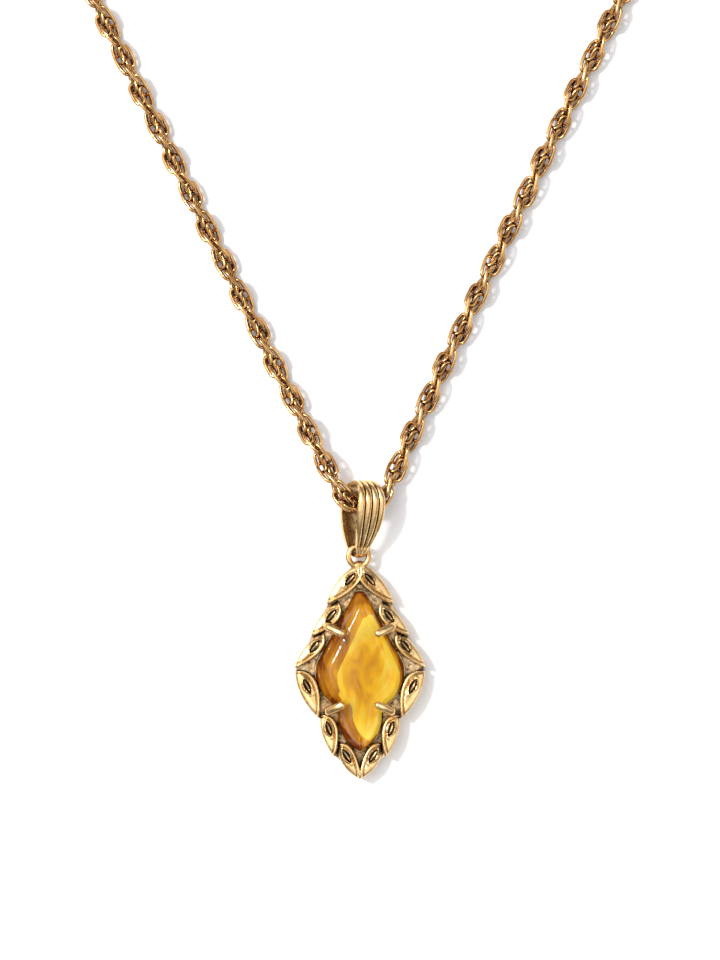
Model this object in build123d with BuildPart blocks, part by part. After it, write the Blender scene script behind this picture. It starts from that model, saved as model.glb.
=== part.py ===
from build123d import *
import os
from math import cos, hypot, pi, radians, sin, tan

# Pendant necklace lying face up on a table, opened at its clasp. Millimetres.
# +Z is up, +Y runs from the pendant towards the clasp, and the origin is under
# the middle of the pendant, on its flat back.

# ---------------------------------------------------------------- driving sizes
CHAIN_D = 2.8  # across the twisted rope chain
CHAIN_Z = CHAIN_D / 2  # the chain lies on the table

BASE_T = 1.1  # closed back plate of the pendant
SHELL_T = 0.8  # mother-of-pearl layer
GIRDLE_T = 0.5  # upright edge of the glass
CROWN_T = 1.5  # sloping facets of the glass
SHELL_Z = BASE_T
GLASS_Z = SHELL_Z + SHELL_T
GIRDLE_Z = GLASS_Z + GIRDLE_T
TABLE_Z = GIRDLE_Z + CROWN_T
FIT_GAP = 0.03  # cement between two pieces of the stone

LEAF_TOP = 2.9  # height of the highest leaf
LEAF_STEP = 0.15  # each leaf is this much lower than the one lying over it
EYE_R = 1.33  # middle of the eye's wire
EYE_WIRE = 0.38
EYE_CENTRE = (-0.2, 15.25, 2.2)
PRONG_R = 0.48

BAIL_TURN = 29.0  # the bail stands turned about the necklace's long axis
BAIL_CENTRE = (0.45, 22.4, 3.35)
BAIL_T = 0.5
BAIL_HALF_W = 2.0

COIL_R = 17.0  # middle of the outer turn of a put-away coil
COIL_HOLE_R = 12.5
COIL_OUT_R = COIL_R + CHAIN_D / 2
COIL_ROUND = 0.9

WIRE = 0.75  # wire of the extender's links
LINK_L = 5.0
LINK_W = 3.4
LINK_Z = LINK_W / 2  # a link that stands on edge rests on the table
BAR_GAP = 0.25  # slack between two linked wires
BARS = WIRE + BAR_GAP  # between the middles of two wires that pull on each other
PITCH = LINK_L - WIRE - BARS  # from one joint of the extender to the next
LINKS = 12

END_RING_R = 1.7  # middle of the wire of the ring at each end of the chain
END_RING_INSET = 10.6  # from the coil's centre to the ring's

PIN_R = 0.35
PIN_FIT = 0.04
SPRING_R = 0.58

os.makedirs("parts", exist_ok=True)


def finish(block, name):
    """Label a finished sub-part and write it."""
    block.part.label = name
    export_step(block.part, f"parts/{name}.step")


# ---------------------------------------------------------------- chain
# The chain's route from the left coil down to the bail, through it and up again.
ROUTE = [
    (-42.4, 104.0, CHAIN_Z),
    (-36.3, 91.4, CHAIN_Z),
    (-26.65, 71.7, CHAIN_Z),
    (-16.1, 50.3, CHAIN_Z),
    (-8.95, 36.0, 1.5),
    (-4.95, 28.1, 2.9),
    (-2.25, 22.8, 4.3),
    (0.6, 21.6, 3.3),
    (3.0, 22.7, 2.3),
    (5.15, 27.6, 1.6),
    (8.75, 35.5, 1.45),
    (15.6, 50.0, CHAIN_Z),
    (26.0, 71.6, CHAIN_Z),
    (35.7, 91.4, CHAIN_Z),
    (42.0, 103.9, CHAIN_Z),
]


def corner_radii(points):
    """The largest arc that each corner of a route has room for."""
    radii = []
    for before, here, after in zip(points, points[1:], points[2:]):
        inward = Vector(*here) - Vector(*before)
        onward = Vector(*after) - Vector(*here)
        turn = radians(inward.get_angle(onward))
        radii.append(0.45 * min(inward.length, onward.length) / tan(turn / 2))
    return radii


radii = corner_radii(ROUTE)
print("chain radii", [round(r, 1) for r in radii])

with BuildPart() as chain_rope:
    with BuildLine() as route:
        FilletPolyline(*ROUTE, radius=radii)
    with BuildSketch(Plane(origin=route.line @ 0, z_dir=route.line % 0)):
        Circle(CHAIN_D / 2)
    sweep(path=route.wires()[0])
section = pi * (CHAIN_D / 2) ** 2
route_length = route.wires()[0].length
print("chain length", route_length, "from its volume", chain_rope.part.volume / section)
finish(chain_rope, "chain_rope")


def coil_centre(end, before, side):
    """The centre of a coil that the last run of the route enters on its outer turn."""
    run = Vector(*end) - Vector(*before)
    inward = Vector(-run.Y, run.X, 0).normalized() * side
    return Vector(end[0], end[1], 0) + inward * COIL_R


left_coil = coil_centre(ROUTE[0], ROUTE[1], -1)
right_coil = coil_centre(ROUTE[-1], ROUTE[-2], 1)

for side, centre in (("left", left_coil), ("right", right_coil)):
    with BuildPart() as coil:
        with BuildSketch(Plane(origin=centre)):
            Circle(COIL_OUT_R)
            Circle(COIL_HOLE_R, mode=Mode.SUBTRACT)
        extrude(amount=CHAIN_D)
        fillet(coil.edges(), COIL_ROUND)
    finish(coil, f"chain_coil_{side}")

# ---------------------------------------------------------------- pendant stone
def symmetric_face(straight, arcs):
    """A face from one side of its outline, which is mirrored for the other."""
    with BuildSketch() as face:
        with BuildLine():
            Polyline(*straight)
            for start, middle, end in arcs:
                ThreePointArc(start, middle, end)
            mirror(about=Plane.YZ)
        make_face()
    return face.sketch


# The stone is a spade shape: a pointed top, wide shoulders, a waist and a lower lobe.
stone_edge = symmetric_face(
    [(0.72, 10.38), (5.6, 1.15), (5.74, 0.3)],
    [
        ((0, 10.62), (0.42, 10.56), (0.72, 10.38)),
        ((5.74, 0.3), (5.24, -2.1), (3.75, -3.9)),
        ((3.75, -3.9), (3.02, -4.9), (2.85, -6.1)),
        ((2.85, -6.1), (2.0, -8.6), (0, -10.32)),
    ],
)
stone_table = symmetric_face(
    [(0.1, 8.55), (3.9, 0.95), (4.05, 0.3)],
    [
        ((0, 8.6), (0.06, 8.59), (0.1, 8.55)),
        ((4.05, 0.3), (3.55, -1.6), (2.4, -2.9)),
        ((2.4, -2.9), (1.55, -4.3), (1.35, -6.0)),
        ((1.35, -6.0), (0.95, -7.5), (0, -8.5)),
    ],
)

with BuildPart() as stone_crown:
    with BuildSketch(Plane.XY.offset(GLASS_Z + FIT_GAP)):
        add(stone_edge)
    extrude(amount=GIRDLE_Z - GLASS_Z - FIT_GAP)
    with BuildSketch(Plane.XY.offset(GIRDLE_Z)):
        add(stone_edge)
    with BuildSketch(Plane.XY.offset(TABLE_Z)):
        add(stone_table)
    loft(ruled=True)
finish(stone_crown, "stone_crown")

with BuildPart() as pearl_layer:
    with BuildSketch(Plane.XY.offset(SHELL_Z)):
        add(stone_edge)
    extrude(amount=SHELL_T)
finish(pearl_layer, "pearl_layer")

# ---------------------------------------------------------------- pendant frame
# Each leaf: blunt start, pointed tip, outer bulge, inner bulge; left side, top to bottom.
LEAVES = [
    ((0.1, 14.0), (-4.4, 9.0), 0.75, 1.45),
    ((-2.9, 9.4), (-6.45, 4.85), 0.55, 1.5),
    ((-4.9, 5.4), (-8.6, 0.6), 0.6, 1.3),
    ((-8.5, 0.25), (-5.4, -6.0), 0.75, 1.75),
    ((-5.2, -5.5), (-3.35, -11.1), 0.6, 1.55),
    ((-2.9, -9.3), (0.1, -14.0), 0.95, 1.15),
]
SEED_L = 1.5  # the almond-shaped hollow in each leaf
SEED_W = 0.65
SEED_DEPTH = 0.6
PRONG_KNEE_Z = GIRDLE_Z + 0.9
PRONG_TIP_Z = TABLE_Z + 0.4
PRONG_BEND_R = 0.8
# Each prong: its foot, then its tip.
PRONGS = [
    (-4.35, 6.1, -1.95, 5.0),
    (4.35, 6.1, 1.95, 5.0),
    (-4.3, -5.1, -1.95, -4.0),
    (4.3, -5.1, 1.95, -4.0),
]
SEED_AT = 0.36  # of the way from the leaf's start to its tip
PLATE_T = BASE_T + 0.5  # the level ground between the leaves
PLATE = [(0, 13.6), (-4.2, 9.0), (-6.3, 4.9), (-8.4, 0.5), (-5.4, -5.9), (-3.3, -11.0), (0, -13.8)]


def beside(start, tip, along, out):
    """The point at a share of the way from start to tip, moved out to the leaf's outer side."""
    run_x = tip[0] - start[0]
    run_y = tip[1] - start[1]
    run = hypot(run_x, run_y)
    return (
        start[0] + along * run_x + out * run_y / run,
        start[1] + along * run_y - out * run_x / run,
    )


def leaf_face(start, tip, outer, inner):
    """One leaf's outline, blunt at its start."""
    with BuildSketch() as face:
        with BuildLine():
            Bezier(start, beside(start, tip, 0.25, 1.35 * outer), beside(start, tip, 0.7, 1.3 * outer), tip)
            Bezier(tip, beside(start, tip, 0.65, -1.05 * inner), beside(start, tip, 0.1, -1.7 * inner), start)
        make_face()
    return face.sketch


def seed_face(start, tip, outer, inner):
    """The almond-shaped hollow in the leaf's blunt half."""
    across = (outer - inner) / 2
    share = SEED_L / 2 / hypot(tip[0] - start[0], tip[1] - start[1])
    first = beside(start, tip, SEED_AT - share, across)
    last = beside(start, tip, SEED_AT + share, across)
    with BuildSketch() as face:
        with BuildLine():
            ThreePointArc(first, beside(first, last, 0.5, SEED_W / 2), last)
            ThreePointArc(last, beside(first, last, 0.5, -SEED_W / 2), first)
        make_face()
    return face.sketch


with BuildPart() as pendant_frame:
    with BuildSketch():
        with BuildLine():
            Polyline(*PLATE)
            mirror(about=Plane.YZ)
        make_face()
    extrude(amount=PLATE_T)
    for rank, leaf in enumerate(LEAVES):
        top = LEAF_TOP - LEAF_STEP * (rank % 3)
        left_leaf = leaf_face(*leaf)
        left_seed = seed_face(*leaf)
        for each_leaf in (left_leaf, left_leaf.mirror(Plane.YZ)):
            with BuildSketch():
                add(each_leaf)
            extrude(amount=top)
        for each_seed in (left_seed, left_seed.mirror(Plane.YZ)):
            with BuildSketch(Plane.XY.offset(top)):
                add(each_seed)
            extrude(amount=-SEED_DEPTH, mode=Mode.SUBTRACT)
    with Locations(EYE_CENTRE):
        Torus(EYE_R, EYE_WIRE)
    for foot_x, foot_y, tip_x, tip_y in PRONGS:
        with BuildLine() as finger:
            FilletPolyline(
                (foot_x, foot_y, BASE_T),
                (foot_x, foot_y, PRONG_KNEE_Z),
                (tip_x, tip_y, PRONG_TIP_Z),
                radius=PRONG_BEND_R,
            )
        with BuildSketch(Plane.XY.offset(BASE_T)):
            with Locations((foot_x, foot_y)):
                Circle(PRONG_R)
        sweep(path=finger.wires()[0])
        with Locations((tip_x, tip_y, PRONG_TIP_Z)):
            Sphere(PRONG_R)
    with BuildSketch(Plane.XY.offset(SHELL_Z)):
        add(stone_edge)
    extrude(amount=GLASS_Z + FIT_GAP - SHELL_Z, mode=Mode.SUBTRACT)
    add(stone_crown.part, mode=Mode.SUBTRACT)
print("frame solids", len(pendant_frame.part.solids()))
finish(pendant_frame, "pendant_frame")

# ---------------------------------------------------------------- bail
bail_turn = radians(BAIL_TURN)
bail_across = Vector(cos(bail_turn), 0, -sin(bail_turn))
bail_forward = Vector(sin(bail_turn), 0, cos(bail_turn))
bail_side_view = Plane(origin=BAIL_CENTRE, x_dir=bail_forward, z_dir=-bail_across)
bail_front_view = Plane(origin=BAIL_CENTRE, x_dir=bail_across, z_dir=bail_forward)

with BuildPart() as bail:
    with BuildSketch(bail_side_view):
        with BuildLine():
            ThreePointArc((-2.7, 0), (0, 2.9), (2.7, 0))
            ThreePointArc((2.7, 0), (1.75, -3.4), (0.2, -5.9))
            ThreePointArc((0.2, -5.9), (-1.3, -7.3), (-2.8, -5.9))
            Line((-2.8, -5.9), (-2.7, 0))
        make_face()
        offset(amount=-BAIL_T, mode=Mode.SUBTRACT)
    extrude(amount=BAIL_HALF_W, both=True)
    with BuildSketch(bail_front_view):
        with BuildLine():
            Line((0, 3.2), (1.35, 3.2))
            ThreePointArc((1.35, 3.2), (BAIL_HALF_W - 0.1, 0.2), (1.85, -2.6))
            ThreePointArc((1.85, -2.6), (1.3, -4.8), (0.42, -6.1))
            Polyline((0.42, -6.1), (0.42, -7.6), (0, -7.6))
            mirror(about=Plane.YZ)
        make_face()
    extrude(amount=2 * BAIL_HALF_W, both=True, mode=Mode.INTERSECT)
finish(bail, "bail")


# ---------------------------------------------------------------- rings and links
def heading(angle):
    """A level direction, in degrees from +X."""
    return Vector(cos(radians(angle)), sin(radians(angle)), 0)


def flat_plane(centre, angle):
    """Where a piece lies flat, pointing along its heading."""
    return Plane(origin=centre, x_dir=heading(angle), z_dir=(0, 0, 1))


def upright_plane(centre, angle):
    """Where a piece stands on edge, pointing along its heading."""
    return Plane(origin=centre, x_dir=heading(angle), z_dir=heading(angle + 90))


def write_link(place, name):
    """An oval wire link."""
    end_r = (LINK_W - WIRE) / 2
    half = (LINK_L - LINK_W) / 2
    with BuildPart() as link:
        with BuildLine(place) as loop:
            Line((-half, end_r), (half, end_r))
            ThreePointArc((half, end_r), (half + end_r, 0), (half, -end_r))
            Line((half, -end_r), (-half, -end_r))
            ThreePointArc((-half, -end_r), (-half - end_r, 0), (-half, end_r))
        with BuildSketch(Plane(origin=loop.wires()[0] @ 0, z_dir=loop.wires()[0] % 0)):
            Circle(WIRE / 2)
        sweep(path=loop.wires()[0])
    finish(link, name)


def end_ring_centre(coil_at, angle):
    """The ring soldered to the chain's end, inside its coil."""
    return coil_at + heading(angle) * END_RING_INSET + Vector(0, 0, LINK_Z)


def step(joint, angle):
    """The middle of a link that starts at a joint, and the joint at its other end."""
    return joint + heading(angle) * (PITCH / 2), joint + heading(angle) * PITCH


left_ring = end_ring_centre(left_coil, 176)
right_ring = end_ring_centre(right_coil, 4)
for side, centre in (("left", left_ring), ("right", right_ring)):
    with BuildPart() as end_ring:
        with Locations(centre):
            Torus(END_RING_R, WIRE / 2)
    finish(end_ring, f"chain_end_ring_{side}")

# ---------------------------------------------------------------- clasp
# The clasp's outline is in its own plane: the eye at the origin, the hook along +X.
CLASP_HEADING = 12
CLASP_HALF_T = 1.2
CLASP_MIDDLE = (6.3, 0)
CLASP_HALF_L = 4.9
CLASP_HALF_W = 3.0
MOUTH_MIDDLE = (6.9, 0.1)  # the open inside of the hook
MOUTH_HALF_L = 3.3
MOUTH_HALF_W = 1.75
GATE_MIDDLE = (6.92, -2.1)  # the gap that the lever closes
GATE_SIZE = (5.16, 2.4)
EYE_TO_BAR = 1.3
NECK_MIDDLE = (1.3, 0)
NECK_SIZE = (1.0, 1.6)

PIVOT = (2.9, -1.3)
KNUCKLE_R = 1.15
LEVER_HALF_T = 0.5
LEVER_W = 1.0
THUMB_TIP = (2.5, -3.0)
THUMB_W = 1.1
RECESS_R = 0.9
RECESS_DEPTH = 0.45

SLOT_HALF_T = LEVER_HALF_T + 0.05
SLOT_R = KNUCKLE_R + 0.2
THUMB_SLOT_MIDDLE = (3.1, -2.15)
THUMB_SLOT_SIZE = (3.8, 2.7)

SPRING_WIRE_R = 0.1
SPRING_TURNS = (0.2, 0.37)  # height of each turn

ring_joint = left_ring + heading(CLASP_HEADING) * (END_RING_R - BARS / 2)
ring_middle, clasp_joint = step(ring_joint, CLASP_HEADING)
write_link(upright_plane(ring_middle, CLASP_HEADING), "clasp_ring")
clasp_eye = clasp_joint + heading(CLASP_HEADING) * (EYE_TO_BAR - BARS / 2)
clasp_plane = flat_plane(clasp_eye, CLASP_HEADING)
print("clasp ring joint", ring_joint + heading(CLASP_HEADING) * (BARS / 2))
print("clasp joint", clasp_joint - heading(CLASP_HEADING) * (BARS / 2))
print("lever pivot", clasp_plane.from_local_coords(PIVOT))

with BuildPart() as clasp_pin:
    with BuildSketch(clasp_plane.offset(-CLASP_HALF_T)):
        with Locations(PIVOT):
            Circle(PIN_R)
    extrude(amount=2 * CLASP_HALF_T)
finish(clasp_pin, "clasp_pin")

with BuildPart() as clasp_body:
    with BuildSketch(clasp_plane.offset(-CLASP_HALF_T)):
        with Locations(CLASP_MIDDLE):
            Ellipse(CLASP_HALF_L, CLASP_HALF_W)
        with Locations(MOUTH_MIDDLE):
            Ellipse(MOUTH_HALF_L, MOUTH_HALF_W, mode=Mode.SUBTRACT)
        with Locations(GATE_MIDDLE):
            Rectangle(*GATE_SIZE, mode=Mode.SUBTRACT)
    extrude(amount=2 * CLASP_HALF_T)
    with BuildSketch(clasp_plane.offset(-SLOT_HALF_T)):
        with Locations(PIVOT):
            Circle(SLOT_R)
        with Locations(THUMB_SLOT_MIDDLE):
            Rectangle(*THUMB_SLOT_SIZE)
    extrude(amount=2 * SLOT_HALF_T, mode=Mode.SUBTRACT)
    with BuildSketch(clasp_plane.offset(-WIRE / 2)):
        Circle(EYE_TO_BAR + WIRE / 2)
        with Locations(NECK_MIDDLE):
            Rectangle(*NECK_SIZE)
        Circle(EYE_TO_BAR - WIRE / 2, mode=Mode.SUBTRACT)
    extrude(amount=WIRE)
    add(clasp_pin.part, mode=Mode.SUBTRACT)
print("clasp body solids", len(clasp_body.part.solids()))
finish(clasp_body, "clasp_body")

with BuildPart() as clasp_lever:
    with BuildSketch(clasp_plane.offset(-LEVER_HALF_T)):
        with BuildLine():
            ThreePointArc((3.2, -1.75), (6.2, -2.35), (9.15, -1.87))
        trace(line_width=LEVER_W)
        with BuildLine():
            Line(PIVOT, THUMB_TIP)
        trace(line_width=THUMB_W)
        with Locations(PIVOT):
            Circle(KNUCKLE_R)
            Circle(PIN_R + PIN_FIT, mode=Mode.SUBTRACT)
    extrude(amount=2 * LEVER_HALF_T)
    with BuildSketch(clasp_plane.offset(LEVER_HALF_T)):
        with Locations(PIVOT):
            Circle(RECESS_R)
    extrude(amount=-RECESS_DEPTH, mode=Mode.SUBTRACT)
finish(clasp_lever, "clasp_lever")

# The lever's spring is a flat coil round the pin, in the lever's recess.
with BuildPart() as clasp_spring:
    for height in SPRING_TURNS:
        with Locations(clasp_plane.from_local_coords((*PIVOT, height))):
            Torus(SPRING_R, SPRING_WIRE_R)
finish(clasp_spring, "clasp_spring")

# ---------------------------------------------------------------- extender
EXTENDER_HEADING = 115
EXTENDER_BEND = 21.5
DROP_R = LINK_Z
DROP_EYE_R = 0.95
DROP_FROM_EYE = DROP_EYE_R + 1.5

print("extender joint 0", right_ring + heading(EXTENDER_HEADING) * END_RING_R)
joint = right_ring + heading(EXTENDER_HEADING) * (END_RING_R - BARS / 2)
for number in range(LINKS):
    angle = EXTENDER_HEADING + EXTENDER_BEND * number
    middle, joint = step(joint, angle)
    if number % 2:
        write_link(flat_plane(middle, angle), f"extender_link_{number + 1:02d}")
        print("extender joint", number + 1, joint + heading(angle) * (BARS / 2), angle)
    else:
        write_link(upright_plane(middle, angle), f"extender_link_{number + 1:02d}")
        after = angle + EXTENDER_BEND
        print("extender joint", number + 1, joint - heading(after) * (BARS / 2), after)

drop_angle = EXTENDER_HEADING + EXTENDER_BEND * LINKS
drop_eye = joint + heading(drop_angle) * (DROP_EYE_R - BARS / 2)
with BuildPart() as extender_drop:
    with Locations(upright_plane(drop_eye, drop_angle)):
        Torus(DROP_EYE_R, WIRE / 2)
    with Locations(drop_eye + heading(drop_angle) * DROP_FROM_EYE):
        Sphere(DROP_R)
finish(extender_drop, "extender_drop")
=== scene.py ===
from math import atan2, cos, hypot, pi, radians, sin, tau

import bpy
import numpy as np
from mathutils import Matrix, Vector


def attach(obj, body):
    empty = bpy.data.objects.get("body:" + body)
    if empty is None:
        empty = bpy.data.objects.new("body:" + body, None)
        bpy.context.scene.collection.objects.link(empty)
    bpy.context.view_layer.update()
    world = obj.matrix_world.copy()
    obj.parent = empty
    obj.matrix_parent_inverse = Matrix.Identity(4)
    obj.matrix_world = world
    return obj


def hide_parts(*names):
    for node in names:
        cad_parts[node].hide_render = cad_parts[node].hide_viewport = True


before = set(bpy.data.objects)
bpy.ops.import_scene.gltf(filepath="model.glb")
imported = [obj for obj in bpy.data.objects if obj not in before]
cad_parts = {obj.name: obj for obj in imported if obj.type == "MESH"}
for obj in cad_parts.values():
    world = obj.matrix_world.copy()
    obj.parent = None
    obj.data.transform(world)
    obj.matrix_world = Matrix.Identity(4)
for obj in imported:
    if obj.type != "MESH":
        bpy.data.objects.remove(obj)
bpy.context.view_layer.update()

# The scene is in metres, and sizes given in millimetres are multiplied by MM.
MM = 0.001

# ---------------------------------------------------------------- camera
VIEW_HEIGHT = 126.7 * MM
VIEW_MIDDLE = (0, 25.3 * MM)
SENSOR = 36
LENS = 150

camera_data = bpy.data.cameras.new("camera")
camera_data.sensor_width = SENSOR
camera_data.lens = LENS
camera = bpy.data.objects.new("camera", camera_data)
camera.location = (*VIEW_MIDDLE, VIEW_HEIGHT * LENS / SENSOR)
camera_data.clip_start = 0.01
bpy.context.collection.objects.link(camera)
bpy.context.scene.camera = camera


# ---------------------------------------------------------------- mesh helpers
def add_piece(name, points, faces, body, smooth_angle=None, patina_and_shade=None):
    """A mesh piece that rides on a body, with its patina and painted shade stored at its points."""
    mesh = bpy.data.meshes.new(name)
    mesh.from_pydata([tuple(p) for p in points], [], faces)
    mesh.validate()
    mesh.update()
    mesh.shade_smooth()
    if smooth_angle is not None:
        mesh.set_sharp_from_angle(angle=radians(smooth_angle))
    if patina_and_shade is not None:
        attribute = mesh.attributes.new("patina_and_shade", "FLOAT", "POINT")
        attribute.data.foreach_set("value", np.asarray(patina_and_shade, dtype=np.float32))
    piece = bpy.data.objects.new(name, mesh)
    bpy.context.collection.objects.link(piece)
    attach(piece, body)
    return piece


def ring_faces(rings, around, closed_along=False):
    """Quads between rows of points, each row closed on itself."""
    faces = []
    for i in range(rings if closed_along else rings - 1):
        here = i * around
        there = (i + 1) % rings * around
        for j in range(around):
            k = (j + 1) % around
            faces.append((here + j, here + k, there + k, there + j))
    return faces


def tube_around(path, radius, sides):
    """Points and faces of a closed wire that follows a closed path lying in a plane."""
    path = np.asarray(path)
    along = np.roll(path, -1, 0) - np.roll(path, 1, 0)
    along /= np.linalg.norm(along, axis=1)[:, None]
    flat = np.cross(path[len(path) // 3] - path[0], path[2 * len(path) // 3] - path[0])
    flat /= np.linalg.norm(flat)
    out = np.cross(along, flat)
    turn = np.linspace(0, tau, sides, endpoint=False)
    points = (
        path[:, None]
        + radius * np.cos(turn)[None, :, None] * out[:, None]
        + radius * np.sin(turn)[None, :, None] * flat
    )
    return points.reshape(-1, 3), ring_faces(len(path), sides, closed_along=True)


def arc(start, middle, end, count):
    """Points of the circle's arc through three points, the last one left out."""
    (ax, ay), (bx, by), (cx, cy) = start, middle, end
    d = 2 * (ax * (by - cy) + bx * (cy - ay) + cx * (ay - by))
    ux = ((ax**2 + ay**2) * (by - cy) + (bx**2 + by**2) * (cy - ay) + (cx**2 + cy**2) * (ay - by)) / d
    uy = ((ax**2 + ay**2) * (cx - bx) + (bx**2 + by**2) * (ax - cx) + (cx**2 + cy**2) * (bx - ax)) / d
    first = atan2(ay - uy, ax - ux)
    sweep_mid = (atan2(by - uy, bx - ux) - first) % tau
    sweep_end = (atan2(cy - uy, cx - ux) - first) % tau
    if sweep_mid > sweep_end:
        sweep_end -= tau
    radius = hypot(ax - ux, ay - uy)
    return [
        (ux + radius * cos(first + sweep_end * i / count), uy + radius * sin(first + sweep_end * i / count))
        for i in range(count)
    ]


def line(start, end, count):
    """Points of a straight line, the last one left out."""
    return [
        (start[0] + (end[0] - start[0]) * i / count, start[1] + (end[1] - start[1]) * i / count)
        for i in range(count)
    ]


# ---------------------------------------------------------------- chain
CHAIN_D = 2.8 * MM
CHAIN_Z = 1.4
ROUTE = [
    (-42.4, 104.0, CHAIN_Z),
    (-36.3, 91.4, CHAIN_Z),
    (-26.65, 71.7, CHAIN_Z),
    (-16.1, 50.3, CHAIN_Z),
    (-8.95, 36.0, 1.5),
    (-4.95, 28.1, 2.9),
    (-2.25, 22.8, 4.3),
    (0.6, 21.6, 3.3),
    (3.0, 22.7, 2.3),
    (5.15, 27.6, 1.6),
    (8.75, 35.5, 1.45),
    (15.6, 50.0, CHAIN_Z),
    (26.0, 71.6, CHAIN_Z),
    (35.7, 91.4, CHAIN_Z),
    (42.0, 103.9, CHAIN_Z),
]
COIL_R = 17.0
COIL_INNER_R = 13.7
COIL_TURN = 381
COIL_STEP = 24
END_RING_INSET = 10.6


def coil_points(end, before, side):
    """The turns of a put-away coil, from the route's end inwards to its end ring."""
    run = (Vector(end) - Vector(before)).normalized()
    centre = Vector(end) + Vector((-run.y, run.x, 0)) * side * COIL_R
    first = atan2(end[1] - centre.y, end[0] - centre.x)
    points = []
    for turned in range(COIL_STEP, COIL_TURN, COIL_STEP):
        angle = first + side * radians(turned)
        radius = COIL_R + (COIL_INNER_R - COIL_R) * turned / COIL_TURN
        points.append((centre.x + radius * cos(angle), centre.y + radius * sin(angle), CHAIN_Z))
    ring_angle = radians(90 - side * 86)
    ring = centre + Vector((cos(ring_angle), sin(ring_angle), 0)) * END_RING_INSET
    for before_ring, radius in ((11.6, 13.4), (5.6, 12.75)):
        angle = ring_angle - side * radians(before_ring)
        points.append((centre.x + radius * cos(angle), centre.y + radius * sin(angle), CHAIN_Z))
    return points, ring


left_turns, left_ring = coil_points(ROUTE[0], ROUTE[1], -1)
right_turns, right_ring = coil_points(ROUTE[-1], ROUTE[-2], 1)
cord_points = left_turns[::-1] + ROUTE + right_turns

route_curve = bpy.data.curves.new("rope_route", "CURVE")
route_curve.dimensions = "3D"
route_curve.resolution_u = 24
route_spline = route_curve.splines.new("NURBS")
route_spline.points.add(len(cord_points) - 1)
for point, place in zip(route_spline.points, cord_points):
    point.co = (place[0] * MM, place[1] * MM, place[2] * MM, 1)
route_spline.order_u = 3
route_spline.use_endpoint_u = True
route_object = bpy.data.objects.new("rope_route", route_curve)
route_line = bpy.data.meshes.new_from_object(route_object)
cord_line = np.array([v.co[:] for v in route_line.vertices])
bpy.data.objects.remove(route_object)

line_steps = np.linalg.norm(np.diff(cord_line, axis=0), axis=1)
line_at = np.concatenate([[0], np.cumsum(line_steps)])
CORD_LENGTH = float(line_at[-1])

# Each link hangs in the next on the rope's other side, a little further round.
LINK_AROUND = 26
LINK_SIDES = 8
LINK_WIRE_R = 0.245 * MM
HALF_TWIST = 5.0 * MM
LINKS_PER_HALF = 6
LINK_HALF_L = 1.5 * MM
LINK_HALF_W = 0.68 * MM
LINK_TILT = radians(15)
LINK_SQUARE = 0.65
# Painted shade with patina: wires near the rope's middle, in the shade of the others, are darkened.
INNER_R = 0.95 * MM
INNER_FADE = 0.5 * MM
INNER_PATINA_AND_SHADE = 0.42
link_pitch = HALF_TWIST / LINKS_PER_HALF
link_turn = pi + pi / LINKS_PER_HALF
link_out = CHAIN_D / 2 - LINK_WIRE_R - LINK_HALF_W


def on_cord(distance):
    """Points of the cord's line at distances along it, and straight on from its ends."""
    places = np.stack([np.interp(distance, line_at, cord_line[:, k]) for k in range(3)], axis=-1)
    first_run = (cord_line[1] - cord_line[0]) / line_steps[0]
    last_run = (cord_line[-1] - cord_line[-2]) / line_steps[-1]
    before = np.minimum(distance, 0)[..., None] * first_run
    beyond = np.maximum(distance - CORD_LENGTH, 0)[..., None] * last_run
    return places + before + beyond


def rope_links():
    """All the rope's links as one mesh: oval wires bent along the cord's line.

    An upright link at each end goes through the last links and the end ring.
    """
    t = np.linspace(0, tau, LINK_AROUND, endpoint=False)
    c, s = np.cos(t), np.sin(t)
    radial = link_out + LINK_HALF_W * np.sign(c) * np.abs(c) ** LINK_SQUARE
    axial = LINK_HALF_L * np.sign(s) * np.abs(s) ** LINK_SQUARE
    points, faces, patina_and_shade = [], [], []
    count = int((CORD_LENGTH - 2 * LINK_HALF_L) / link_pitch)
    places = [(LINK_HALF_L + k * link_pitch, k * link_turn, LINK_TILT, 0) for k in range(count + 1)]
    places += [(0, pi / 2, 0, link_out), (CORD_LENGTH, pi / 2, 0, link_out)]
    for number, (middle, phase, tilt, centred) in enumerate(places):
        away = (
            (radial - centred) * cos(phase) - axial * sin(tilt) * sin(phase),
            (radial - centred) * sin(phase) + axial * sin(tilt) * cos(phase),
        )
        at = middle + axial * cos(tilt)
        base = on_cord(at)
        along = on_cord(at + 0.3 * MM) - on_cord(at - 0.3 * MM)
        along /= np.linalg.norm(along, axis=1)[:, None]
        across = np.cross(along, (0, 0, 1))
        across /= np.linalg.norm(across, axis=1)[:, None]
        up = np.cross(across, along)
        path = base + away[0][:, None] * across + away[1][:, None] * up
        wire, wire_faces = tube_around(path, LINK_WIRE_R, LINK_SIDES)
        start = number * LINK_AROUND * LINK_SIDES
        points.append(wire)
        off_axis = np.linalg.norm(wire - np.repeat(base, LINK_SIDES, axis=0), axis=1)
        patina_and_shade.append(INNER_PATINA_AND_SHADE * np.clip((INNER_R - off_axis) / INNER_FADE, 0, 1))
        faces += [tuple(start + k for k in face) for face in wire_faces]
    return np.concatenate(points), faces, np.concatenate(patina_and_shade)


rope_points, rope_faces, rope_patina_and_shade = rope_links()
rope = add_piece("rope_chain_links", rope_points, rope_faces, "chain", patina_and_shade=rope_patina_and_shade)
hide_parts("chain_rope", "chain_coil_left", "chain_coil_right")
EXTENDER_LINKS = [f"extender_link_{k:02d}" for k in range(1, 13)]
END_PIECES = ["chain_end_ring_left", "clasp_ring", "clasp_body", "clasp_pin", "clasp_spring", "clasp_lever"]
END_PIECES += ["chain_end_ring_right", *EXTENDER_LINKS, "extender_drop"]


# ---------------------------------------------------------------- material helpers
def new_material(name):
    """A material and its principled shader."""
    material = bpy.data.materials.new(name)
    material.use_nodes = True
    return material, material.node_tree, material.node_tree.nodes["Principled BSDF"]


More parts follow.
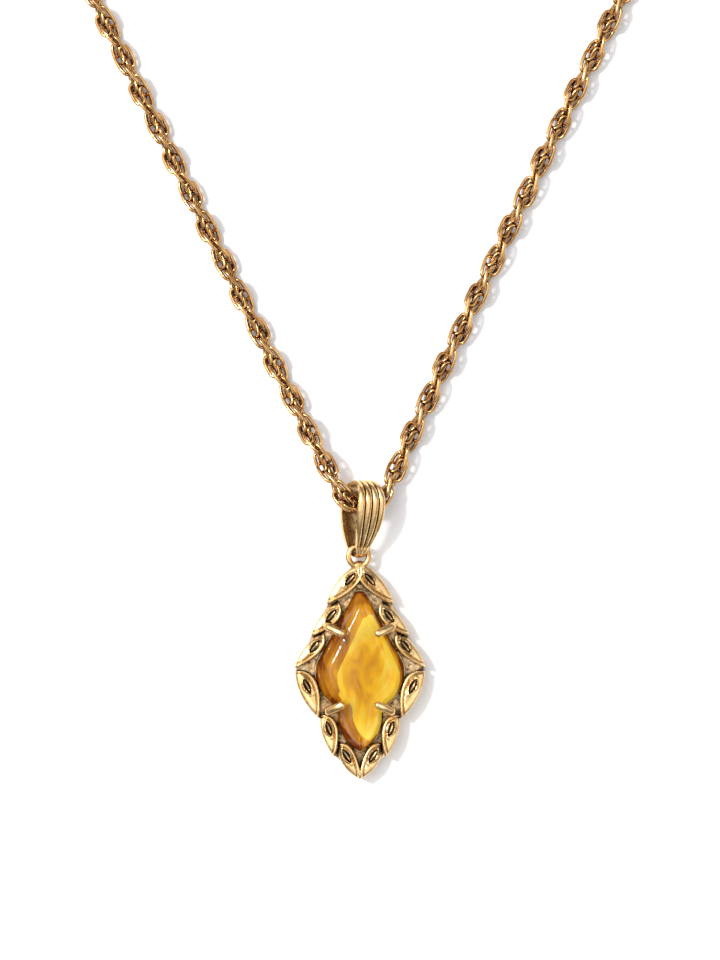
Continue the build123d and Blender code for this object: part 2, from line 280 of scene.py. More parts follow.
def noise_at(tree, scale, detail=3.0, stretch=(1, 1, 1), distortion=0.0):
    """A noise whose features are about 1/scale millimetres across."""
    place = tree.nodes.new("ShaderNodeTexCoord")
    mapping = tree.nodes.new("ShaderNodeMapping")
    mapping.inputs["Scale"].default_value = [1000 * k for k in stretch]
    noise = tree.nodes.new("ShaderNodeTexNoise")
    noise.inputs["Scale"].default_value = scale
    noise.inputs["Detail"].default_value = detail
    noise.inputs["Distortion"].default_value = distortion
    tree.links.new(place.outputs["Object"], mapping.inputs["Vector"])
    tree.links.new(mapping.outputs["Vector"], noise.inputs["Vector"])
    return noise.outputs["Fac"]


def ramp(tree, value, stops):
    """Colours or greys spread over a value."""
    node = tree.nodes.new("ShaderNodeValToRGB")
    elements = node.color_ramp.elements
    while len(elements) < len(stops):
        elements.new(0.5)
    for element, (position, colour) in zip(elements, stops):
        element.position = position
        element.color = (*colour, 1)
    tree.links.new(value, node.inputs["Fac"])
    return node.outputs["Color"]


def grey(value):
    return (value, value, value)


def mixed(tree, share, first, second, kind="MIX"):
    """Two colours mixed; a colour is a socket or three numbers."""
    node = tree.nodes.new("ShaderNodeMix")
    node.data_type = "RGBA"
    node.blend_type = kind
    sockets = {s.identifier: s for s in node.inputs}
    for value, key in ((share, "Factor_Float"), (first, "A_Color"), (second, "B_Color")):
        if isinstance(value, bpy.types.NodeSocket):
            tree.links.new(value, sockets[key])
        elif isinstance(value, tuple):
            sockets[key].default_value = (*value, 1)
        else:
            sockets[key].default_value = value
    return next(s for s in node.outputs if s.identifier == "Result_Color")


def calculated(tree, operation, *values, clamp=False):
    """The result of a sum on sockets and numbers."""
    node = tree.nodes.new("ShaderNodeMath")
    node.operation = operation
    node.use_clamp = clamp
    for value, place in zip(values, node.inputs):
        if isinstance(value, bpy.types.NodeSocket):
            tree.links.new(value, place)
        else:
            place.default_value = value
    return node.outputs[0]


def bumped(tree, shader, height, distance, strength):
    """Relief that is too fine to be worth a mesh. The distance is in millimetres."""
    node = tree.nodes.new("ShaderNodeBump")
    node.inputs["Distance"].default_value = distance * MM
    node.inputs["Strength"].default_value = strength
    tree.links.new(height, node.inputs["Height"])
    tree.links.new(node.outputs["Normal"], shader.inputs["Normal"])


def antique_gold(
    name,
    light=(0.95, 0.66, 0.33),
    deep=(0.72, 0.44, 0.17),
    roughness=0.25,
    grain=3.0,
    occlusion_reach=0.6,
    mottle=0.5,
    tarnish_and_shade=(0.035, 0.022, 0.012),
):
    """Gold plate with brown patina and painted shade where the piece's attribute for them is high, and
    painted shade from ambient occlusion in its crevices.
    """
    material, tree, shader = new_material(name)
    cloud = noise_at(tree, 0.5, 4)
    plate = ramp(tree, cloud, [(0.3, deep), (0.65, light)])
    # The piece's attribute holds patina and painted shade.
    patina_and_shade = tree.nodes.new("ShaderNodeAttribute")
    patina_and_shade.attribute_name = "patina_and_shade"
    speckle = noise_at(tree, 2.2, 5)
    ragged = calculated(tree, "MULTIPLY_ADD", speckle, mottle, -mottle / 2)
    # Painted shade with patina: ambient occlusion darkens the colour in crevices and between parts.
    occlusion_shade = tree.nodes.new("ShaderNodeAmbientOcclusion")
    occlusion_shade.samples = 8
    occlusion_shade.inputs["Distance"].default_value = occlusion_reach * MM
    closed_in = tree.nodes.new("ShaderNodeMapRange")
    closed_in.inputs["From Min"].default_value = 0.75
    closed_in.inputs["From Max"].default_value = 0.15
    tree.links.new(occlusion_shade.outputs["AO"], closed_in.inputs["Value"])
    most = calculated(tree, "MAXIMUM", patina_and_shade.outputs["Fac"], closed_in.outputs["Result"])
    total = calculated(tree, "ADD", most, ragged, clamp=True)
    dark = ramp(tree, total, [(0.2, grey(0)), (0.75, grey(1))])
    colour = mixed(tree, dark, plate, tarnish_and_shade)
    tree.links.new(colour, shader.inputs["Base Color"])
    shader.inputs["Metallic"].default_value = 1
    rough = ramp(tree, speckle, [(0.3, grey(roughness - 0.07)), (0.7, grey(roughness + 0.1))])
    tree.links.new(rough, shader.inputs["Roughness"])
    bumped(tree, shader, noise_at(tree, grain, 3), 0.06 * mottle, 0.5)
    return material


def dress(piece, material):
    """The piece's only material."""
    piece.data.materials.clear()
    piece.data.materials.append(material)


chain_gold = antique_gold(
    "chain_gold",
    light=(0.78, 0.45, 0.18),
    deep=(0.42, 0.20, 0.06),
    roughness=0.15,
    occlusion_reach=1.2,
    tarnish_and_shade=(0.06, 0.022, 0.008),
)
frame_gold = antique_gold("frame_gold")
clasp_gold = antique_gold(
    "clasp_gold",
    light=(0.86, 0.56, 0.26),
    deep=(0.74, 0.46, 0.19),
    roughness=0.18,
    occlusion_reach=1.2,
    mottle=0.3,
)
eye_gold = antique_gold("eye_gold", light=(0.84, 0.56, 0.25), deep=(0.5, 0.29, 0.1), occlusion_reach=1.2)
spring_steel, steel_tree, steel_shader = new_material("spring_steel")
drawn = ramp(steel_tree, noise_at(steel_tree, 6.0, 2), [(0.3, grey(0.42)), (0.7, grey(0.56))])
steel_tree.links.new(drawn, steel_shader.inputs["Base Color"])
steel_shader.inputs["Metallic"].default_value = 1
steel_shader.inputs["Roughness"].default_value = 0.28
dress(rope, chain_gold)
for node in END_PIECES:
    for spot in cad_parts[node].material_slots:
        spot.material = clasp_gold
        if "end_ring" in node:
            spot.material = chain_gold
        if "spring" in node:
            spot.material = spring_steel


# ---------------------------------------------------------------- stone
BASE_T = 1.1
SHELL_T = 0.8
GLASS_Z = BASE_T + SHELL_T
GIRDLE_Z = GLASS_Z + 0.5
TABLE_Z = GIRDLE_Z + 1.5
BONDED = 0.02  # how far the glass reaches into the pearl, so that no air lies between


def stone_outline(top, shoulder, waist, lobe):
    """The stone's spade shape: each argument is the arcs or the line that it is made of."""
    half = arc(*top, 5) + line(top[2], shoulder[0], 12) + line(shoulder[0], shoulder[1], 2)
    half += arc(*waist[0], 10) + arc(*waist[1], 7) + arc(*lobe, 14) + [lobe[2]]
    return [half[0]] + [(-x, y) for x, y in half[1:]] + half[-2:0:-1]


stone_edge = stone_outline(
    ((0, 10.62), (0.42, 10.56), (0.72, 10.38)),
    ((5.6, 1.15), (5.74, 0.3)),
    (((5.74, 0.3), (5.24, -2.1), (3.75, -3.9)), ((3.75, -3.9), (3.02, -4.9), (2.85, -6.1))),
    ((2.85, -6.1), (2.0, -8.6), (0, -10.32)),
)
stone_table = stone_outline(
    ((0, 8.6), (0.06, 8.59), (0.1, 8.55)),
    ((3.9, 0.95), (4.05, 0.3)),
    (((4.05, 0.3), (3.55, -1.6), (2.4, -2.9)), ((2.4, -2.9), (1.55, -4.3), (1.35, -6.0))),
    ((1.35, -6.0), (0.95, -7.5), (0, -8.5)),
)


def level(outline, height, scale=1.0):
    """An outline as points at one height, in metres."""
    return [(x * scale * MM, y * scale * MM, height * MM) for x, y in outline]


def blended(first, second, share):
    """An outline part of the way between two."""
    return [(a + (c - a) * share, b + (d - b) * share) for (a, b), (c, d) in zip(first, second)]


def closed_stack(levels):
    """Points and faces of rings stacked from the bottom up and capped at both ends."""
    around = len(levels[0])
    points = [p for one in levels for p in one]
    faces = ring_faces(len(levels), around)
    last = (len(levels) - 1) * around
    faces.append(tuple(range(around))[::-1])
    faces.append(tuple(last + k for k in range(around)))
    return points, faces


def rounded(before, corner, after, count=6):
    """Heights and shares of a corner's rounding, as a quadratic curve."""
    turn = np.linspace(0, 1, count)[:, None]
    before, corner, after = (np.array(p) for p in (before, corner, after))
    return ((1 - turn) ** 2 * before + 2 * turn * (1 - turn) * corner + turn**2 * after).tolist()


FACET_ROUND = 0.17  # share of the bevel's width
bevel_rise = (TABLE_Z - GIRDLE_Z) * FACET_ROUND
crown_profile = [(0, GLASS_Z - BONDED)]
crown_profile += rounded((0, GIRDLE_Z - 0.2), (0, GIRDLE_Z), (0.08, GIRDLE_Z + 0.12))
crown_profile += rounded((1 - FACET_ROUND, TABLE_Z - bevel_rise), (1, TABLE_Z), (1 + FACET_ROUND, TABLE_Z))
crown_points, crown_faces = closed_stack(
    [level(blended(stone_edge, stone_table, share), height) for share, height in crown_profile]
)
crown = add_piece("faceted_crown", crown_points, crown_faces, "pendant", smooth_angle=20)
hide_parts("stone_crown")

glass, glass_tree, glass_shader = new_material("amber_glass")
glass_shader.inputs["Base Color"].default_value = (1.0, 0.82, 0.24, 1)
glass_shader.inputs["Transmission Weight"].default_value = 1
glass_shader.inputs["IOR"].default_value = 1.5
glass_shader.inputs["Specular IOR Level"].default_value = 0.3
glass_rough = ramp(glass_tree, noise_at(glass_tree, 0.8), [(0.4, grey(0.0)), (0.8, grey(0.04))])
glass_tree.links.new(glass_rough, glass_shader.inputs["Roughness"])
dress(crown, glass)


CORE_SCALE = (0.69, 0.772)
CORE_SHIFT = (1.05, -0.8)
# Shares of the way, from the edge to the core and from the core's edge to its middle, with brightness:
# painted light, a sheen in the core, a highlight band at its edge and painted shade and reflection towards
# the stone's edge.
AROUND_CORE = (
    (0, -0.6), (0.06, -0.45), (0.14, 0), (0.5, 0.05), (0.58, 0.3), (0.95, 0.36), (0.98, 0.42), (1, 1),
)
IN_CORE = ((0.08, 0.98), (0.25, 0.78), (0.5, 0.62), (0.75, 0.62), (0.95, 0.66))


def pearl_piece():
    """The mother-of-pearl under the glass, with painted sheen and shade: its bright core is thinned round
    its edge.
    """
    core = [(CORE_SCALE[0] * x + CORE_SHIFT[0], CORE_SCALE[1] * y + CORE_SHIFT[1]) for x, y in stone_edge]
    centre = [CORE_SHIFT] * len(core)
    levels = [level(stone_edge, BASE_T), level(stone_edge, GLASS_Z - 0.05)]
    brightness = [0, 0]
    for share, glow in AROUND_CORE:
        levels.append(level(blended(stone_edge, core, share), GLASS_Z))
        brightness.append(glow)
    for share, glow in IN_CORE:
        levels.append(level(blended(core, centre, share), GLASS_Z))
        brightness.append(glow)
    points, faces = closed_stack(levels)
    return points, faces, [glow for glow in brightness for _ in core]


pearl_points, pearl_faces, pearl_glow = pearl_piece()
pearl = add_piece("pearl_sheet", pearl_points, pearl_faces, "pendant", smooth_angle=30)
glow_attribute = pearl.data.attributes.new("core", "FLOAT", "POINT")
glow_attribute.data.foreach_set("value", np.asarray(pearl_glow, dtype=np.float32))
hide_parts("pearl_layer")

shell, shell_tree, shell_shader = new_material("golden_pearl")
# The core attribute carries the painted sheen, highlight and shade; the clouds are the shell's own streaks.
core_share = shell_tree.nodes.new("ShaderNodeAttribute")
core_share.attribute_name = "core"
shell_cloud = noise_at(shell_tree, 0.33, 4, stretch=(1.5, 0.6, 1), distortion=1.0)
core_less = calculated(shell_tree, "SUBTRACT", core_share.outputs["Fac"], 0.72)
cloud_lift = calculated(shell_tree, "MULTIPLY_ADD", shell_cloud, 1.4, core_less)
# The ramp's top stops are a near-white painted highlight.
shell_colour = ramp(
    shell_tree,
    cloud_lift,
    [
        (0.0, (0.20, 0.03, 0.001)),
        (0.06, (0.42, 0.14, 0.001)),
        (0.24, (0.52, 0.21, 0.001)),
        (0.5, (0.82, 0.42, 0.001)),
        (0.75, (1.0, 0.66, 0.002)),
        (1.0, (1.0, 0.84, 0.20)),
    ],
)
shell_tree.links.new(shell_colour, shell_shader.inputs["Base Color"])
shell_shader.inputs["Roughness"].default_value = 0.3
dress(pearl, shell)

# ---------------------------------------------------------------- pendant frame
PLATE_TOP = BASE_T + 0.5
PLATE = [(0, 13.6), (-4.2, 9.0), (-6.3, 4.9), (-8.4, 0.5), (-5.4, -5.9), (-3.3, -11.0), (0, -13.8)]
LEAVES = [
    ((0.1, 14.4), (-4.4, 9.0), 0.85, 1.45),
    ((-2.9, 9.4), (-6.45, 4.85), 0.55, 1.5),
    ((-4.9, 5.4), (-8.6, 0.6), 0.6, 1.3),
    ((-8.5, 0.25), (-5.4, -6.0), 0.75, 1.75),
    ((-5.2, -5.5), (-3.35, -11.1), 0.6, 1.55),
    ((-2.9, -9.3), (0.1, -14.0), 0.95, 1.15),
]
LEAF_TOP = 3.0
LEAF_SINK = 0.55  # a leaf's blunt start is this much lower than its tip
OUTER_FALL = 0.30  # how far the blade bends down towards its outer edge
OUTER_FALL_W = 0.9
EDGE_ROUND = 0.12
LIP_H = 0.12
LIP_W = 0.27
GROOVE_DEPTH = 0.14  # the groove behind the lip
GROOVE_AT = 0.62
GROOVE_W = 0.20
SEED_AT = 0.36  # share of the leaf's length
SEED_HALF_L = 1.1
SEED_HALF_W = 0.43
SEED_DEPTH = 0.34
SEED_RIM_H = 0.10
SEED_RIM_AT = 0.08
SEED_RIM_W = 0.16
LEAF_ALONG = 96
LEAF_ACROSS = 40
SKIRT = 0.16  # how far the wall on a leaf's inner side, dark with painted shade and patina, spreads at its foot
# how much the leaf's outer wall is darkened
OUTER_WALL_DARK = 0.15
BASE_LIFT = 0.15
# Shares of a leaf's height, with how far its outer wall is tucked in there.
LEAF_WALL = ((0.8, 0), (0.5, 0.04), (0.25, 0.14), (0, 0.34))


def beside(start, tip, along, out):
    """The point at a share of the way from start to tip, moved out to the leaf's outer side."""
    run_x, run_y = tip[0] - start[0], tip[1] - start[1]
    run = hypot(run_x, run_y)
    return start[0] + along * run_x + out * run_y / run, start[1] + along * run_y - out * run_x / run


def bezier(a, b, c, d, share):
    """A point of the curve from a to d."""
    rest = 1 - share
    weights = (rest**3, 3 * rest**2 * share, 3 * rest * share**2, share**3)
    return np.array([sum(w * p[k] for w, p in zip(weights, (a, b, c, d))) for k in (0, 1)])


def bell(value, width):
    """A smooth hump, 1 at zero and gone beyond the width."""
    return float(np.clip(1 - abs(value) / width, 0, 1)) ** 2 * (1 + 2 * min(abs(value) / width, 1))


def seed_relief(along, across):
    """Height and darkening of the almond-shaped hollow, at a place measured from its middle: patina with
    painted shade.
    """
    pinch = max(0.02, 1 - (along / SEED_HALF_L) ** 2)
    almond = abs(across) / (SEED_HALF_W * pinch) if abs(along) < SEED_HALF_L else 9
    beyond = max(0, abs(across) - SEED_HALF_W * pinch, (abs(along) - SEED_HALF_L) * 0.8)
    inside = max(0, 1 - almond)
    height = -SEED_DEPTH * inside**0.6 * pinch**0.3
    height += SEED_RIM_H * bell(beyond - SEED_RIM_AT, SEED_RIM_W) * (almond > 1)
    # Painted shade with patina fills the hollow, less dark along its middle, with a dark line painted
    # outside its rim.
    dark = 0.9 * min(1, 5 * inside) * (1 - 0.5 * max(0, 1 - almond / 0.4))
    return height, max(dark, 0.55 * bell(beyond - 0.3, 0.1))


def leaf_relief(from_in, from_out, u):
    """Height and darkening of a leaf's blade, at a place measured from its edges and start: patina with
    painted shade.
    """
    edge = min(from_in, from_out)
    lip = bell(from_in - LIP_W, LIP_W)
    groove = bell(from_in - GROOVE_AT, GROOVE_W)
    height = LEAF_TOP - LEAF_SINK * (1 - u) ** 1.4
    height -= OUTER_FALL * max(0, 1 - from_out / OUTER_FALL_W) ** 2
    height -= EDGE_ROUND * max(0, 1 - edge / EDGE_ROUND) ** 2
    height += LIP_H * lip - GROOVE_DEPTH * groove
    # Painted shade with patina: dark in the groove, along the inner edge and at the start, under the tip of
    # the leaf before.
    dark = max(0.62 * groove, 0.9 * max(0, 1 - from_in / 0.1), 0.5 * max(0, 1 - u / 0.05))
    return height, dark


def leaf_piece(name, leaf, mirrored):
    """A leaf: a domed blade with a lip along its inner edge and a seed in a hollow."""
    start, tip, outer, inner = leaf
    run = hypot(tip[0] - start[0], tip[1] - start[1])
    seed_at = beside(start, tip, SEED_AT, (outer - inner) / 2)
    axis = ((tip[0] - start[0]) / run, (tip[1] - start[1]) / run)
    out_pull = (beside(start, tip, 0.25, 1.35 * outer), beside(start, tip, 0.7, 1.3 * outer))
    in_pull = (beside(start, tip, 0.1, -1.7 * inner), beside(start, tip, 0.65, -1.05 * inner))
    points, patina_and_shade = [], []
    for i in range(LEAF_ALONG + 1):
        u = i / LEAF_ALONG
        out_edge = bezier(start, *out_pull, tip, u)
        in_edge = bezier(start, *in_pull, tip, u)
        width = max(float(np.linalg.norm(out_edge - in_edge)), 0.001)
        for j in range(LEAF_ACROSS + 1):
            v = (1 - cos(pi * j / LEAF_ACROSS)) / 2
            x, y = in_edge + (out_edge - in_edge) * v
            along = (x - seed_at[0]) * axis[0] + (y - seed_at[1]) * axis[1]
            across = (x - seed_at[0]) * axis[1] - (y - seed_at[1]) * axis[0]
            height, dark = leaf_relief(v * width, (1 - v) * width, u)
            seed_height, seed_dark = seed_relief(along, across)
            points.append((-x if mirrored else x, y, height + seed_height))
            patina_and_shade.append(max(dark, seed_dark))
    across_count = LEAF_ACROSS + 1
    faces = []
    for i in range(LEAF_ALONG):
        for j in range(LEAF_ACROSS):
            a = i * across_count + j
            quad = (a, a + 1, a + across_count + 1, a + across_count)
            faces.append(quad if mirrored else quad[::-1])
    rim = [i * across_count for i in range(LEAF_ALONG + 1)]
    rim += [i * across_count + LEAF_ACROSS for i in range(LEAF_ALONG - 1, 0, -1)]
    across_way = (axis[1] * (1 if mirrored else -1), axis[0])
    upper = rim
    for share, tuck in LEAF_WALL:
        lower = []
        for k in rim:
            near_end = min(1, 3 * sin(pi * (k // across_count) / LEAF_ALONG))
            inner_side = k % across_count == 0
            shift = near_end * (SKIRT * (1 - share) if inner_side else tuck)
            lower.append(len(points))
            height = BASE_LIFT + (points[k][2] - BASE_LIFT) * share
            x, y = points[k][:2]
            points.append((x + shift * across_way[0], y + shift * across_way[1], height))
            # Painted shade with patina on the inner wall's foot; the outer wall only slightly darkened.
            patina_and_shade.append(near_end if inner_side else OUTER_WALL_DARK)
        for k in range(len(rim)):
            after = (k + 1) % len(rim)
            wall = (upper[k], upper[after], lower[after], lower[k])
            faces.append(wall if mirrored else wall[::-1])
        upper = lower
    below = upper[0]
    floor_loop = tuple(below + k for k in range(len(rim)))
    faces.append(floor_loop if mirrored else floor_loop[::-1])
    points = [(x * MM, y * MM, z * MM) for x, y, z in points]
    return add_piece(name, points, faces, "pendant", smooth_angle=50, patina_and_shade=patina_and_shade)


for rank, leaf in enumerate(LEAVES):
    for side, mirrored in (("left", False), ("right", True)):
        blade = leaf_piece(f"leaf_{side}_{rank + 1}", leaf, mirrored)
        dress(blade, frame_gold)


def plate_piece():
    """The back plate: a closed back, a wall round the stone's pocket and mottled level ground.

    Each row of the profile has the shares of the plate's and of the stone's outline, what is
    added to them, the height and the darkening: patina with painted shade.
    """
    outline = np.array(PLATE + [(-x, y) for x, y in PLATE[-2:0:-1]])
    angles = np.arctan2(outline[:, 1], outline[:, 0])
    around = 240
    turn = np.linspace(-pi, pi, around, endpoint=False)

    def reach(shape):
        """How far a closed shape reaches in each direction."""
        shape = np.asarray(shape)
        ends = np.roll(shape, -1, 0)
        found = np.zeros(around)
        for (x0, y0), (x1, y1) in zip(shape, ends):
            for k, angle in enumerate(turn):
                dx, dy = cos(angle), sin(angle)
                cross = (x1 - x0) * dy - (y1 - y0) * dx
                if abs(cross) < 1e-9:
                    continue
                far = ((x1 - x0) * -y0 + (y1 - y0) * x0) / -cross
                share = (dx * -y0 + dy * x0) / -cross
                if -1e-9 <= share <= 1 + 1e-9 and far > 0:
                    found[k] = max(found[k], far)
        return found

    far_out = reach(outline)
    far_in = reach(stone_edge)
    rings, dark = [], []
    # The last column is the darkening, painted shade with patina, darkest down the pocket's wall under the
    # stone.
    profile = [
        (0.3, 0, 0.0, 0.0, 0.2),
        (1, 0, -0.25, 0.0, 0.2),
        (1, 0, 0.0, 0.2, 0.2),
        (1, 0, 0.0, PLATE_TOP - 0.15, 0.3),
        (1, 0, -0.15, PLATE_TOP, 0.35),
        (0.5, 0.5, 0.0, PLATE_TOP - 0.05, 0.3),
        (0, 1, 0.34, PLATE_TOP, 0.4),
        (0, 1, 0.22, PLATE_TOP + 0.22, 0.1),
        (0, 1, 0.10, PLATE_TOP + 0.22, 0.1),
        (0, 1, 0.02, PLATE_TOP + 0.1, 0.6),
        (0, 1, 0.02, BASE_T - 0.02, 0.8),
        (0, 0.4, 0.0, BASE_T - 0.02, 0.8),
    ]
    for out_share, in_share, extra, height, shade in profile:
        radius = out_share * far_out + in_share * far_in + extra
        rings.append([(r * cos(a) * MM, r * sin(a) * MM, height * MM) for r, a in zip(radius, turn)])
        dark += [shade] * around
    points, faces = closed_stack(rings)
    return add_piece("frame_plate", points, faces, "pendant", smooth_angle=40, patina_and_shade=dark)


plate = plate_piece()
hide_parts("pendant_frame")
ground_gold = antique_gold(
    "ground_gold",
    light=(0.92, 0.64, 0.36),
    deep=(0.46, 0.28, 0.11),
    roughness=0.3,
    grain=2.0,
    mottle=2.0,
)
dress(plate, ground_gold)

EYE_CENTRE = (-0.2, 15.25, 2.2)
EYE_R = 1.33
EYE_WIRE = 0.38
eye_turn = np.linspace(0, tau, 48, endpoint=False)
eye_path = [
    ((EYE_CENTRE[0] + EYE_R * cos(a)) * MM, (EYE_CENTRE[1] + EYE_R * sin(a)) * MM, EYE_CENTRE[2] * MM)
    for a in eye_turn
]
eye_points, eye_faces = tube_around(eye_path, EYE_WIRE * MM, 14)
eye = add_piece("bail_eye", eye_points, eye_faces, "pendant")
dress(eye, eye_gold)

NECK_MIDDLE = (-0.1, 13.95)
NECK_HALF = (1.1, 0.75)
NECK_Z = 1.75
NECK_HALF_H = 0.85
neck_rings = []
for tilt in np.linspace(-0.5 * pi, 0.5 * pi, 15)[1:-1]:
    reach = cos(tilt) ** 0.6
    height = NECK_Z + NECK_HALF_H * sin(tilt)
    neck_rings.append([
        ((NECK_MIDDLE[0] + NECK_HALF[0] * reach * cos(a)) * MM,
         (NECK_MIDDLE[1] + NECK_HALF[1] * reach * sin(a)) * MM, height * MM)
        for a in np.linspace(0, tau, 32, endpoint=False)
    ])
neck_points, neck_faces = closed_stack(neck_rings)
neck = add_piece("eye_neck", neck_points, neck_faces, "pendant", smooth_angle=50)
dress(neck, eye_gold)

PRONGS = [
    (-4.35, 6.1, -1.95, 5.0),
    (4.35, 6.1, 1.95, 5.0),
    (-4.3, -5.1, -1.95, -4.0),
    (4.3, -5.1, 1.95, -4.0),
]
PRONG_R = 0.52
PRONG_ALONG = 28
PRONG_AROUND = 16
PRONG_SMOOTHING = 6  # rounds of smoothing of the bent path
PRONG_TIP = 0.9  # share of the prong where its tip starts to close


def prong_piece(name, foot_x, foot_y, tip_x, tip_y):
    """A claw: it rises beside the stone, bends over its edge and tapers to a filed tip."""
    span_x, span_y = tip_x - foot_x, tip_y - foot_y
    control = [
        (foot_x, foot_y, BASE_T + 0.2),
        (foot_x, foot_y, GIRDLE_Z + 0.75),
        (foot_x + 0.22 * span_x, foot_y + 0.22 * span_y, GIRDLE_Z + 1.05),
        (foot_x + 0.62 * span_x, foot_y + 0.62 * span_y, TABLE_Z + 0.18),
        (tip_x, tip_y, TABLE_Z + 0.36),
    ]
    knots = np.array(control)
    share = np.linspace(0, len(control) - 1, PRONG_ALONG)
    path = np.stack([np.interp(share, range(len(control)), knots[:, k]) for k in range(3)], -1)
    for _ in range(PRONG_SMOOTHING):
        path[1:-1] = (path[:-2] + 2 * path[1:-1] + path[2:]) / 4
    along = np.gradient(path, axis=0)
    along /= np.linalg.norm(along, axis=1)[:, None]
    level_side = np.array([-span_y, span_x, 0]) / hypot(span_x, span_y)
    rings = []
    for k, (place, ahead) in enumerate(zip(path, along)):
        t = k / (len(path) - 1)
        radius = PRONG_R * (1 + 0.22 * sin(pi * t)) * (1 - 0.06 * t)
        if t > PRONG_TIP:
            radius *= max(0.05, 1 - ((t - PRONG_TIP) / (1 - PRONG_TIP)) ** 2) ** 0.5
        top = np.cross(level_side, ahead)
        ring = []
        for a in np.linspace(0, tau, PRONG_AROUND, endpoint=False):
            ring.append(tuple((place + radius * (cos(a) * level_side + 0.85 * sin(a) * top)) * MM))
        rings.append(ring)
    points, faces = closed_stack(rings)
    return add_piece(name, points, faces, "pendant", smooth_angle=60)


for number, prong in enumerate(PRONGS):
    claw = prong_piece(f"prong_{number + 1}", *prong)
    dress(claw, frame_gold)

# ---------------------------------------------------------------- bail
BAIL_TURN = radians(29)
BAIL_CENTRE = np.array((0.45, 22.4, 3.35))
BAIL_T = 0.5
RIBS = 4
RIB_DEPTH = 0.32
EDGE_DROP = 0.10
INNER_SHARE = 0.97  # width of the strip's inside, as a share of its outside
BAIL_ACROSS = 48
INNER_ACROSS = 12


def bail_half_width(y):
    """The bail's half width at a height along it."""
    heights = (-7.6, -7.0, -6.2, -5.4, -4.6, -3.6, -2.6, -1.2, 0.2, 1.6, 3.2)
    widths = (0.58, 0.72, 1.02, 1.30, 1.56, 1.80, 1.96, 2.05, 2.02, 1.86, 1.50)
    return float(np.interp(y, heights, widths))


def bail_piece():
    """A bent strip: ribbed outside where it shows, plain inside, narrow where the eye hangs."""
    loop = arc((-2.7, 0), (0, 2.9), (2.7, 0), 40) + arc((2.7, 0), (1.75, -3.4), (0.2, -5.9), 34)
    loop += arc((0.2, -5.9), (-1.3, -7.3), (-2.8, -5.9), 20) + line((-2.8, -5.9), (-2.7, 0), 22)
    loop = np.array(loop)
    ahead = np.roll(loop, -1, 0) - np.roll(loop, 1, 0)
    ahead /= np.linalg.norm(ahead, axis=1)[:, None]
    outward = np.stack([-ahead[:, 1], ahead[:, 0]], -1)
    if np.mean(outward * loop) < 0:
        outward = -outward
    across = np.array((cos(BAIL_TURN), 0, -sin(BAIL_TURN)))
    forward = np.array((sin(BAIL_TURN), 0, cos(BAIL_TURN)))
    upward = np.array((0, 1, 0))
    rings, patina_and_shade = [], []
    for (depth, y), (out_depth, out_y) in zip(loop, outward):
        half = bail_half_width(y)
        ribbed = float(np.clip((depth + 1.6) / 1.6, 0, 1)) * float(np.clip((y + 6.9) / 1.0, 0, 1))
        ring = []
        for j in range(BAIL_ACROSS + 1):
            v = -1 + 2 * j / BAIL_ACROSS
            place = (v + 1) / 2 * RIBS
            in_rib = abs(2 * (place % 1) - 1) if 0 < j < BAIL_ACROSS else 1
            sunk = ribbed * RIB_DEPTH * in_rib**3 + EDGE_DROP * abs(v) ** 6
            # Painted shade with patina in the grooves between the ribs.
            dark = ribbed * max(0, (in_rib - 0.62) / 0.35) if 0.05 < j / BAIL_ACROSS < 0.95 else 0
            d = depth - sunk * out_depth
            h = y - sunk * out_y
            ring.append(BAIL_CENTRE + v * half * across + d * forward + h * upward)
            patina_and_shade.append(dark)
        for j in range(INNER_ACROSS, -1, -1):
            v = -1 + 2 * j / INNER_ACROSS
            d = depth - BAIL_T * out_depth
            h = y - BAIL_T * out_y
            ring.append(BAIL_CENTRE + v * INNER_SHARE * half * across + d * forward + h * upward)
            # Painted shade on the strip's inside.
            patina_and_shade.append(0.5 if abs(v) < 0.82 else 0)
        rings += [tuple(p * MM) for p in ring]
    around = BAIL_ACROSS + INNER_ACROSS + 2
    return rings, ring_faces(len(loop), around, closed_along=True), patina_and_shade


bail_points, bail_faces, bail_patina_and_shade = bail_piece()
ribbed_bail = add_piece("ribbed_bail", bail_points, bail_faces, "bail", smooth_angle=50, patina_and_shade=bail_patina_and_shade)
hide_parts("bail")
dress(ribbed_bail, frame_gold)

# ---------------------------------------------------------------- floor, lights, world
def add_light(name, place, target, size, watts):
    """A softbox that faces a point."""
    data = bpy.data.lights.new(name, "AREA")
    data.shape = "RECTANGLE"
    data.size = size
    data.size_y = size
    data.energy = watts
    light = bpy.data.objects.new(name, data)
    light.location = place
    light.rotation_euler = (Vector(target) - Vector(place)).to_track_quat("-Z", "Y").to_euler()
    bpy.context.collection.objects.link(light)


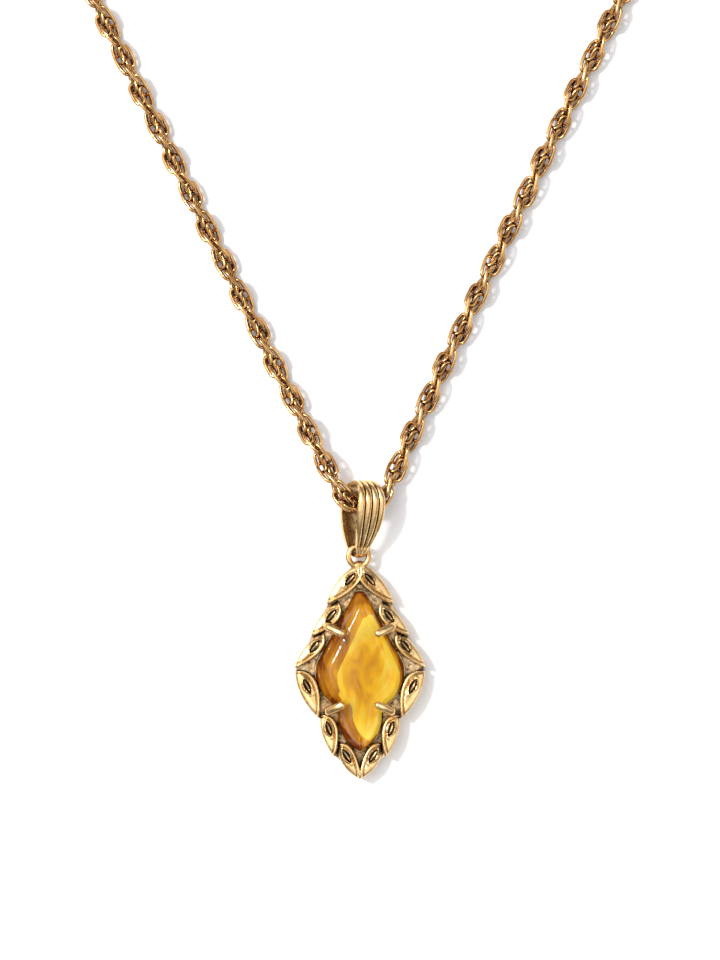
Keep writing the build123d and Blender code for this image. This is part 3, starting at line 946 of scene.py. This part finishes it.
FLOOR_HALF = 3
floor_mesh = bpy.data.meshes.new("floor")
corners = [(x * FLOOR_HALF, y * FLOOR_HALF, 0) for x, y in ((-1, -1), (1, -1), (1, 1), (-1, 1))]
floor_mesh.from_pydata(corners, [], [(0, 1, 2, 3)])
floor = bpy.data.objects.new("floor", floor_mesh)
bpy.context.collection.objects.link(floor)
paper, paper_tree, paper_shader = new_material("white_paper")
paper_shader.inputs["Base Color"].default_value = (0.93, 0.93, 0.94, 1)
paper_shader.inputs["Roughness"].default_value = 0.9
paper_shader.inputs["Specular IOR Level"].default_value = 0.1
dress(floor, paper)

add_light("key", (-0.31, 0.165, 0.48), (0, 0.01, 0), 0.08, 2.7)

bpy.context.scene.view_settings.view_transform = "Standard"
world = bpy.data.worlds.new("studio")
bpy.context.scene.world = world
world.use_nodes = True
sky = world.node_tree


def sky_share(axis):
    """How far a direction lies towards an axis, from 0, away, to 1, along it."""
    direction = sky.nodes.new("ShaderNodeTexCoord")
    towards = sky.nodes.new("ShaderNodeVectorMath")
    towards.operation = "DOT_PRODUCT"
    towards.inputs[1].default_value = Vector(axis).normalized()
    sky.links.new(direction.outputs["Generated"], towards.inputs[0])
    spread = sky.nodes.new("ShaderNodeMapRange")
    spread.inputs["From Min"].default_value = -1
    spread.inputs["From Max"].default_value = 1
    sky.links.new(towards.outputs["Value"], spread.inputs["Value"])
    return spread.outputs["Result"]


left_softbox = ramp(sky, sky_share((-0.55, 0.25, 0.80)), [(0.90, grey(0)), (0.95, grey(1.2))])
right_softbox = ramp(sky, sky_share((0.60, -0.05, 0.80)), [(0.92, grey(0)), (0.96, grey(0.8))])
ceiling = ramp(
    sky, sky_share((0, 0, 1)),
    [(0.5, grey(0.12)), (0.75, grey(0.2)), (0.87, grey(0.55)), (0.975, grey(0.7)), (0.993, grey(0.3))],
)
brightness = mixed(sky, 1.0, mixed(sky, 1.0, left_softbox, right_softbox, "ADD"), ceiling, "ADD")
sky.links.new(brightness, sky.nodes["Background"].inputs["Color"])
sky.nodes["Background"].inputs["Strength"].default_value = 1.18
